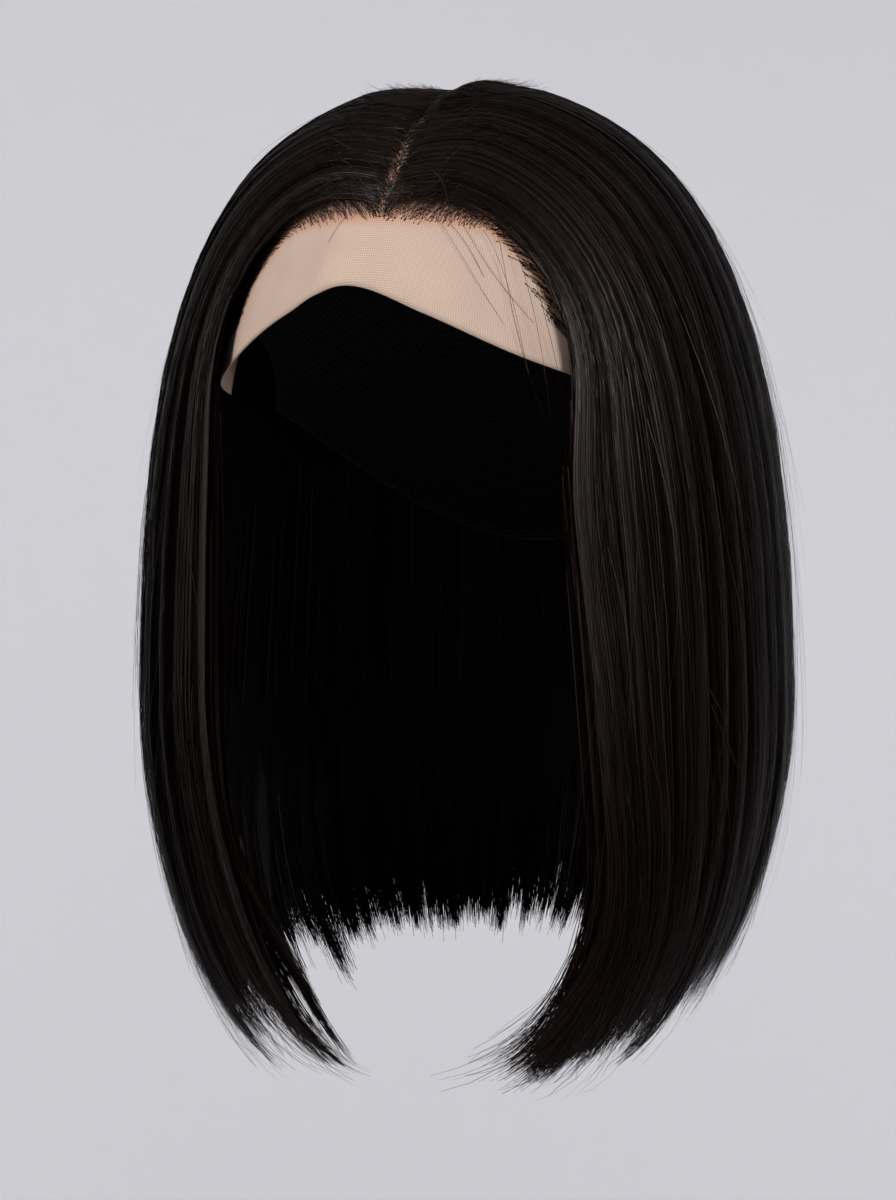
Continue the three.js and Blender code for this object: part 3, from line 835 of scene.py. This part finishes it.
def flyaways(body):
    """Single hairs that stand off the rest, further towards their tips: short fuzz, and long ones."""
    count = STRANDS["flyaway"]["count"]
    each = (count, 1)
    around = rng.uniform(body["from"], body["to"], count)[:, None]
    run = np.linspace(0, 1, 9)[None, :]
    short = rng.random(each) < FUZZ_SHARE
    start = np.where(short, rng.uniform(*FUZZ["start"], each), rng.uniform(*LONG_HAIR["start"], each))
    reach = np.where(short, rng.uniform(*FUZZ["reach"], each), rng.uniform(*LONG_HAIR["reach"], each))
    tip = np.minimum(start + reach, fall_at(around, station(around, "tip_z") + 4))
    turn = np.where(short, FUZZ["turn"], LONG_HAIR["turn"]) * rng.normal(0, 1, each) * run**1.5
    away = np.where(short, rng.uniform(*FUZZ["away"], each), rng.uniform(*LONG_HAIR["away"], each))
    lift = -away * run ** rng.uniform(1.2, 2.5, each)
    paths = stood_up(hair_point(body, around + turn, mix(start, tip, run), lift))
    tone = varied("flyaway", "tone", count)
    strand_piece(body["name"] + "_flyaways", paths, varied("flyaway", "wide", count), tone)


def crossing_hairs(body):
    """Single paler hairs that lie over the rest at a slant."""
    count = STRANDS["crossing"]["count"]
    each = (count, 1)
    around = rng.uniform(body["from"], body["to"], count)[:, None]
    run = np.linspace(0, 1, 9)[None, :]
    start = rng.uniform(*CROSSING_START, each)
    fall = np.minimum(start + rng.uniform(*CROSSING_REACH, each) * run, CROSSING_LATEST)
    slant = rng.normal(0, CROSSING_SLANT, each) * run
    bow = rng.normal(0, CROSSING_BOW, each) * np.sin(np.pi * run)
    paths = hair_point(body, around + (slant + bow), fall, varied("crossing", "depth", each))
    wide = varied("crossing", "wide", count)
    strand_piece(body["name"] + "_crossing_hairs", paths, wide, varied("crossing", "tone", count))


def end_hairs(body):
    """Single hairs that reach past the curled ends of a front edge, each its own way."""
    count = STRANDS["end"]["count"]
    each = (count, 1)
    share = rng.random(each) ** 1.5
    run = np.linspace(0, 1, 8)[None, :]
    fall = mix(varied("end", "start", each), rng.uniform(*END_TIP, each), run)
    turn = rng.normal(0, END_TURN, each) * run**1.3
    depth = mix(varied("end", "depth", each), rng.uniform(*END_TIP_DEPTH, each), run)
    paths = hair_point(body, from_front(body, END_REACH * share) + turn, fall, depth)
    paths[..., 2] -= LOOSE[body["name"]]["longer"] * smooth(fall, *LONGER_IN) * (1 - share)
    tone = varied("end", "tone", count)
    strand_piece(body["name"] + "_end_hairs", paths, varied("end", "wide", count), tone)


def root_pieces(name, knot_name, paths, knots, knot_wide, kind):
    """Root hairs and the knots that tie them, which are short, broad and lie flat on the lace."""
    tone = np.clip(rng.normal(ROOT_TONE, ROOT_TONE_SPREAD, len(paths)), 0, 0.85)
    strand_piece(name, paths, varied(kind, "wide", len(paths)), tone)
    wide, shade = np.full(len(knots), knot_wide), np.full(len(knots), KNOT_TONE)
    strand_piece(knot_name, knots, wide, shade, taper=0.3, turned=0.0)


# Points of a root hair: how far it has gone from its knot, and how high it is off the form inside the cap
LINE_ROOT = ((0, 0.95), (0.4, 1.05), (1.2, 1.5), (2.6, 2.3))
PART_ROOT = ((0, 0.95), (0.4, 1.05), (1.0, 1.5), (2.2, 2.3))
# Falls past its root at which it then lies in the hair
LINE_ROOT_FALLS = (8, 15, 24, 35, 48)
PART_ROOT_FALLS = (3.0, 6.0, 11.0, 18.0)


def hairline_roots(body, sparse):
    """Root hairs tied in rows to the lace about the hairline, which lean outwards and sweep into the hair."""
    sign = 1 if body["from"] == FRONT_EDGE else -1
    grid = np.meshgrid(np.arange(HAIRLINE_COLUMNS), np.arange(HAIRLINE_ROWS), indexing="ij")
    column, row = grid[0].ravel(), grid[1].ravel()
    shares = np.array(ROW_SHARES + [1.0] * (HAIRLINE_ROWS - len(ROW_SHARES)))
    kept = rng.random(len(row)) < shares[row]
    column, row = column[kept], row[kept]
    count = len(row)
    place = (column + 0.5 + rng.uniform(-0.35, 0.35, count)) / HAIRLINE_COLUMNS
    thin = sparse * smooth(place, 0.5, 0.8) * (row < 4)
    ahead = FIRST_ROW_AHEAD - row + rng.normal(0, 0.35, count) + thin * rng.uniform(0, 1.8, count)
    across, rise = np.interp(place, LINE_PLACE, LINE_ACROSS), np.interp(place, LINE_PLACE, LINE_RISE)
    along_across = np.interp(place, LINE_PLACE, np.gradient(LINE_ACROSS))
    along_rise = np.interp(place, LINE_PLACE, np.gradient(LINE_RISE))
    size = np.hypot(along_across, along_rise)
    along_across, along_rise = along_across / size, along_rise / size
    lean = rng.uniform(0.3, 1.1, count) + 2.4 * smooth(place, 0.4, 0.75)
    paths = []
    for back, lift in LINE_ROOT:
        forward, aside = DEGREES_IN_MM * (ahead - back), DEGREES_IN_MM * lean * back
        a = across + along_rise * forward + along_across * aside
        r = rise - along_across * forward + along_rise * aside
        point = head_point(a, r, lift)
        point[:, 0] *= sign
        paths.append(point)
    knots = np.stack(paths[:2], 1)[row < KNOT_ROWS]
    joins = 0.8 * np.maximum(0, 2.5 - ahead) + rng.uniform(0.5, 4.0, count)
    depth = varied("hairline_root", "depth", count)
    for more in LINE_ROOT_FALLS:
        paths.append(hair_point(body, from_front(body, joins), LINE_END_FALL * place + more, depth))
    names = body["name"] + "_hairline", body["name"] + "_knots"
    root_pieces(*names, np.stack(paths, 1), knots, HAIRLINE_KNOT, "hairline_root")


def part_roots(body):
    """Root hairs on the lace of the part, which lean away from its middle and lie down into the hair."""
    count = STRANDS["part_root"]["count"]
    sign = 1 if body["from"] == FRONT_EDGE else -1
    directions = np.linspace(FRONT_EDGE, 150, 60)
    y = rng.uniform(*PART_ROOT_Y, count)
    around = np.interp(y, station(directions, "root_y"), directions)
    around = around if sign > 0 else 360 - around
    wide = mix(*PART_ROOT_WIDE, smooth(y, *PART_ROOT_WIDE_Y))
    x = wide * rng.random(count) - PART_ROOT_PAST
    back = rng.uniform(0.1, 0.9, count)
    paths = []
    for out, lift in PART_ROOT:
        here = y + back * out
        paths.append(np.stack([sign * (x + out), here, head_height(x + out, here, lift)], -1))
    knots = np.stack(paths[:2], 1)
    depth = varied("part_root", "depth", count)
    for more in PART_ROOT_FALLS:
        paths.append(hair_point(body, around, more + 0.6 * x, depth))
    names = body["name"] + "_part_roots", body["name"] + "_part_knots"
    root_pieces(*names, np.stack(paths, 1), knots, PART_KNOT, "part_root")


# Long hairs fallen over the lace: where each starts and ends, how far off it stands, and how it bows
STRAYS = {
    "across": [13.5, 19.8, 24.7, 28, 31, 34, -9.5, 16],
    "rise": [38, 38, 38, 38, 38, 37, 38, 38],
    "to_across": [33, 40, 40, 45, 47, 52, -15, 27],
    "to_rise": [19, 21, 8, -4, -18, -8, 24, 28],
    "off": [1.8, 1.6, 3.0, 3.5, 5.0, 4.5, 1.6, 1.5],
    "bow": [-0.6, -2.3, 1.6, -1.2, 3, 1, -0.8, 0.6],
}


def stray_hairs():
    rows = {name: np.array(values, float)[:, None] for name, values in STRAYS.items()}
    run = np.linspace(0, 1, 12)[None, :]
    across = mix(rows["across"], rows["to_across"], run) + rows["bow"] * np.sin(np.pi * run)
    rise = mix(rows["rise"], rows["to_rise"], run**1.15)
    paths = head_point(across, rise, mix(1.0, rows["off"], np.sin(np.pi * np.minimum(run + 0.15, 1) ** 0.8)))
    wide, tone = np.full(len(paths), STRAY_WIDE), np.full(len(paths), STRAY_TONE)
    strand_piece("hair_strays", paths, wide, tone, taper=0.3)


for hair in BODIES:
    mass = hair_mass(hair)
    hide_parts(hair["name"])
    wide_wisps = wisp_table(hair, WIDE_WISPS * hair["locks"], WIDE_WISP_RAGGED)
    fine_wisps = wisp_table(hair, FINE_WISPS * hair["locks"], FINE_WISP_RAGGED)
    part_strands(hair, wide_wisps, fine_wisps)
    cap_strands(hair, wide_wisps, fine_wisps)
    under_strands(hair, wide_wisps, fine_wisps)
    flyaways(hair)
    crossing_hairs(hair)
# The first rows of the left hairline are sparser towards the side
for hair, sparse in ((BODIES[0], 2.6), (BODIES[2], 0.0)):
    hairline_roots(hair, sparse)
    part_roots(hair)
    end_hairs(hair)
stray_hairs()

# Floor and walls of the studio, in metres: a round cove of pale paper
COVE_RADIUS, COVE_FLOOR, COVE_HIGH, COVE_ROUND = 4.2, -1.9, 4.4, 0.8
bpy.ops.object.select_all(action="DESELECT")
bpy.ops.mesh.primitive_circle_add(
    vertices=96, radius=COVE_RADIUS, fill_type="NGON", location=(0, 0, COVE_FLOOR)
)
cove = bpy.context.object
cove.name = "studio_cove"
bpy.ops.object.mode_set(mode="EDIT")
bpy.ops.mesh.select_all(action="SELECT")
bpy.ops.mesh.extrude_region_move(TRANSFORM_OT_translate={"value": (0, 0, COVE_HIGH)})
bpy.ops.mesh.delete(type="ONLY_FACE")
bpy.ops.object.mode_set(mode="OBJECT")
for edge in cove.data.edges:
    edge.select = all(abs(cove.data.vertices[v].co.z) < 0.01 for v in edge.vertices)
bpy.ops.object.mode_set(mode="EDIT")
bpy.ops.mesh.bevel(offset=COVE_ROUND, segments=10)
bpy.ops.object.mode_set(mode="OBJECT")
bpy.ops.object.transform_apply(location=True, rotation=True, scale=True)
bpy.ops.object.shade_smooth()


def paper_material():
    """Pale lilac-grey studio paper, matte, with a faint unevenness."""
    made, tree, shader = material("pale_studio_paper")
    place = add(tree, "ShaderNodeTexCoord").outputs["Object"]
    cloud = add(tree, "ShaderNodeTexNoise", {"Vector": place, "Scale": 0.5, "Detail": 1}).outputs["Fac"]
    shades = [(0.3, "#cecfd2"), (0.7, "#d2d3d6")]
    colour = add(tree, "ShaderNodeValToRGB", {"Fac": cloud}, stops=shades).outputs["Color"]
    set_sockets(tree, shader, {"Base Color": colour, "Roughness": 0.9, "Specular IOR Level": 0.1})
    return made


cove.data.materials.append(paper_material())


def softbox(name, place, aim, size, power, colour):
    light = bpy.data.lights.new(name, "AREA")
    light.shape, light.size, light.energy, light.color = "DISK", size, power, linear(colour)[:3]
    lamp = bpy.data.objects.new(name, light)
    bpy.context.scene.collection.objects.link(lamp)
    lamp.location = place
    lamp.rotation_euler = (Vector(aim) - Vector(place)).to_track_quat("-Z", "Y").to_euler()


# Lights, in metres and watts: two on the backdrop, and soft ones on the hair from both sides
SUBJECT, BACKDROP = (0, 0, -0.15), (-1.44, 3.95, -0.3)
WHITE, COOL_WHITE, WARM_WHITE, FILL_WHITE = "#ffffff", "#fbfaff", "#fff6ee", "#fff8f2"
softbox("backdrop_left", (-1.7, 0.35, -0.2), BACKDROP, 1.4, 37, COOL_WHITE)
softbox("backdrop_right", (1.1, 1.36, -0.2), BACKDROP, 1.4, 37, COOL_WHITE)
softbox("ceiling_softbox", (0, -0.3, 2.6), (0, 0, 0), 3.0, 3, COOL_WHITE)
softbox("key_softbox", (-1.0, -1.7, 1.05), SUBJECT, 1.0, 47, WARM_WHITE)
softbox("fill_softbox", (1.7, -1.0, 0.45), SUBJECT, 0.9, 31, FILL_WHITE)
softbox("side_softbox", (-1.6, -0.35, 0.0), SUBJECT, 1.0, 3, WARM_WHITE)
softbox("hair_light", (0.9, 0.5, 0.9), SUBJECT, 0.6, 1, WHITE)

world = bpy.data.worlds.new("studio_air")
world.use_nodes = True
air = world.node_tree.nodes["Background"]
set_sockets(world.node_tree, air, {"Color": linear("#d8d8dc"), "Strength": 0.2})
bpy.context.scene.world = world
bpy.context.scene.view_settings.view_transform = "Standard"

# Camera at eye level, a little to the wearer's left, as the photo was taken, in metres
AZIMUTH, ELEVATION, DISTANCE = math.radians(20), math.radians(4), 1.8
AIM_ASIDE, AIM_HEIGHT, LENS = -0.004, -0.166, 162
level = math.cos(ELEVATION)
back = Vector((math.sin(AZIMUTH) * level, -math.cos(AZIMUTH) * level, math.sin(ELEVATION)))
camera = bpy.data.objects.new("camera", bpy.data.cameras.new("camera"))
bpy.context.scene.collection.objects.link(camera)
aim = Vector((AIM_ASIDE * math.cos(AZIMUTH), AIM_ASIDE * math.sin(AZIMUTH), AIM_HEIGHT))
camera.location = aim + DISTANCE * back
camera.rotation_euler = (-back).to_track_quat("-Z", "Y").to_euler()
camera.data.lens = LENS
camera.data.clip_end = 50
bpy.context.scene.camera = camera
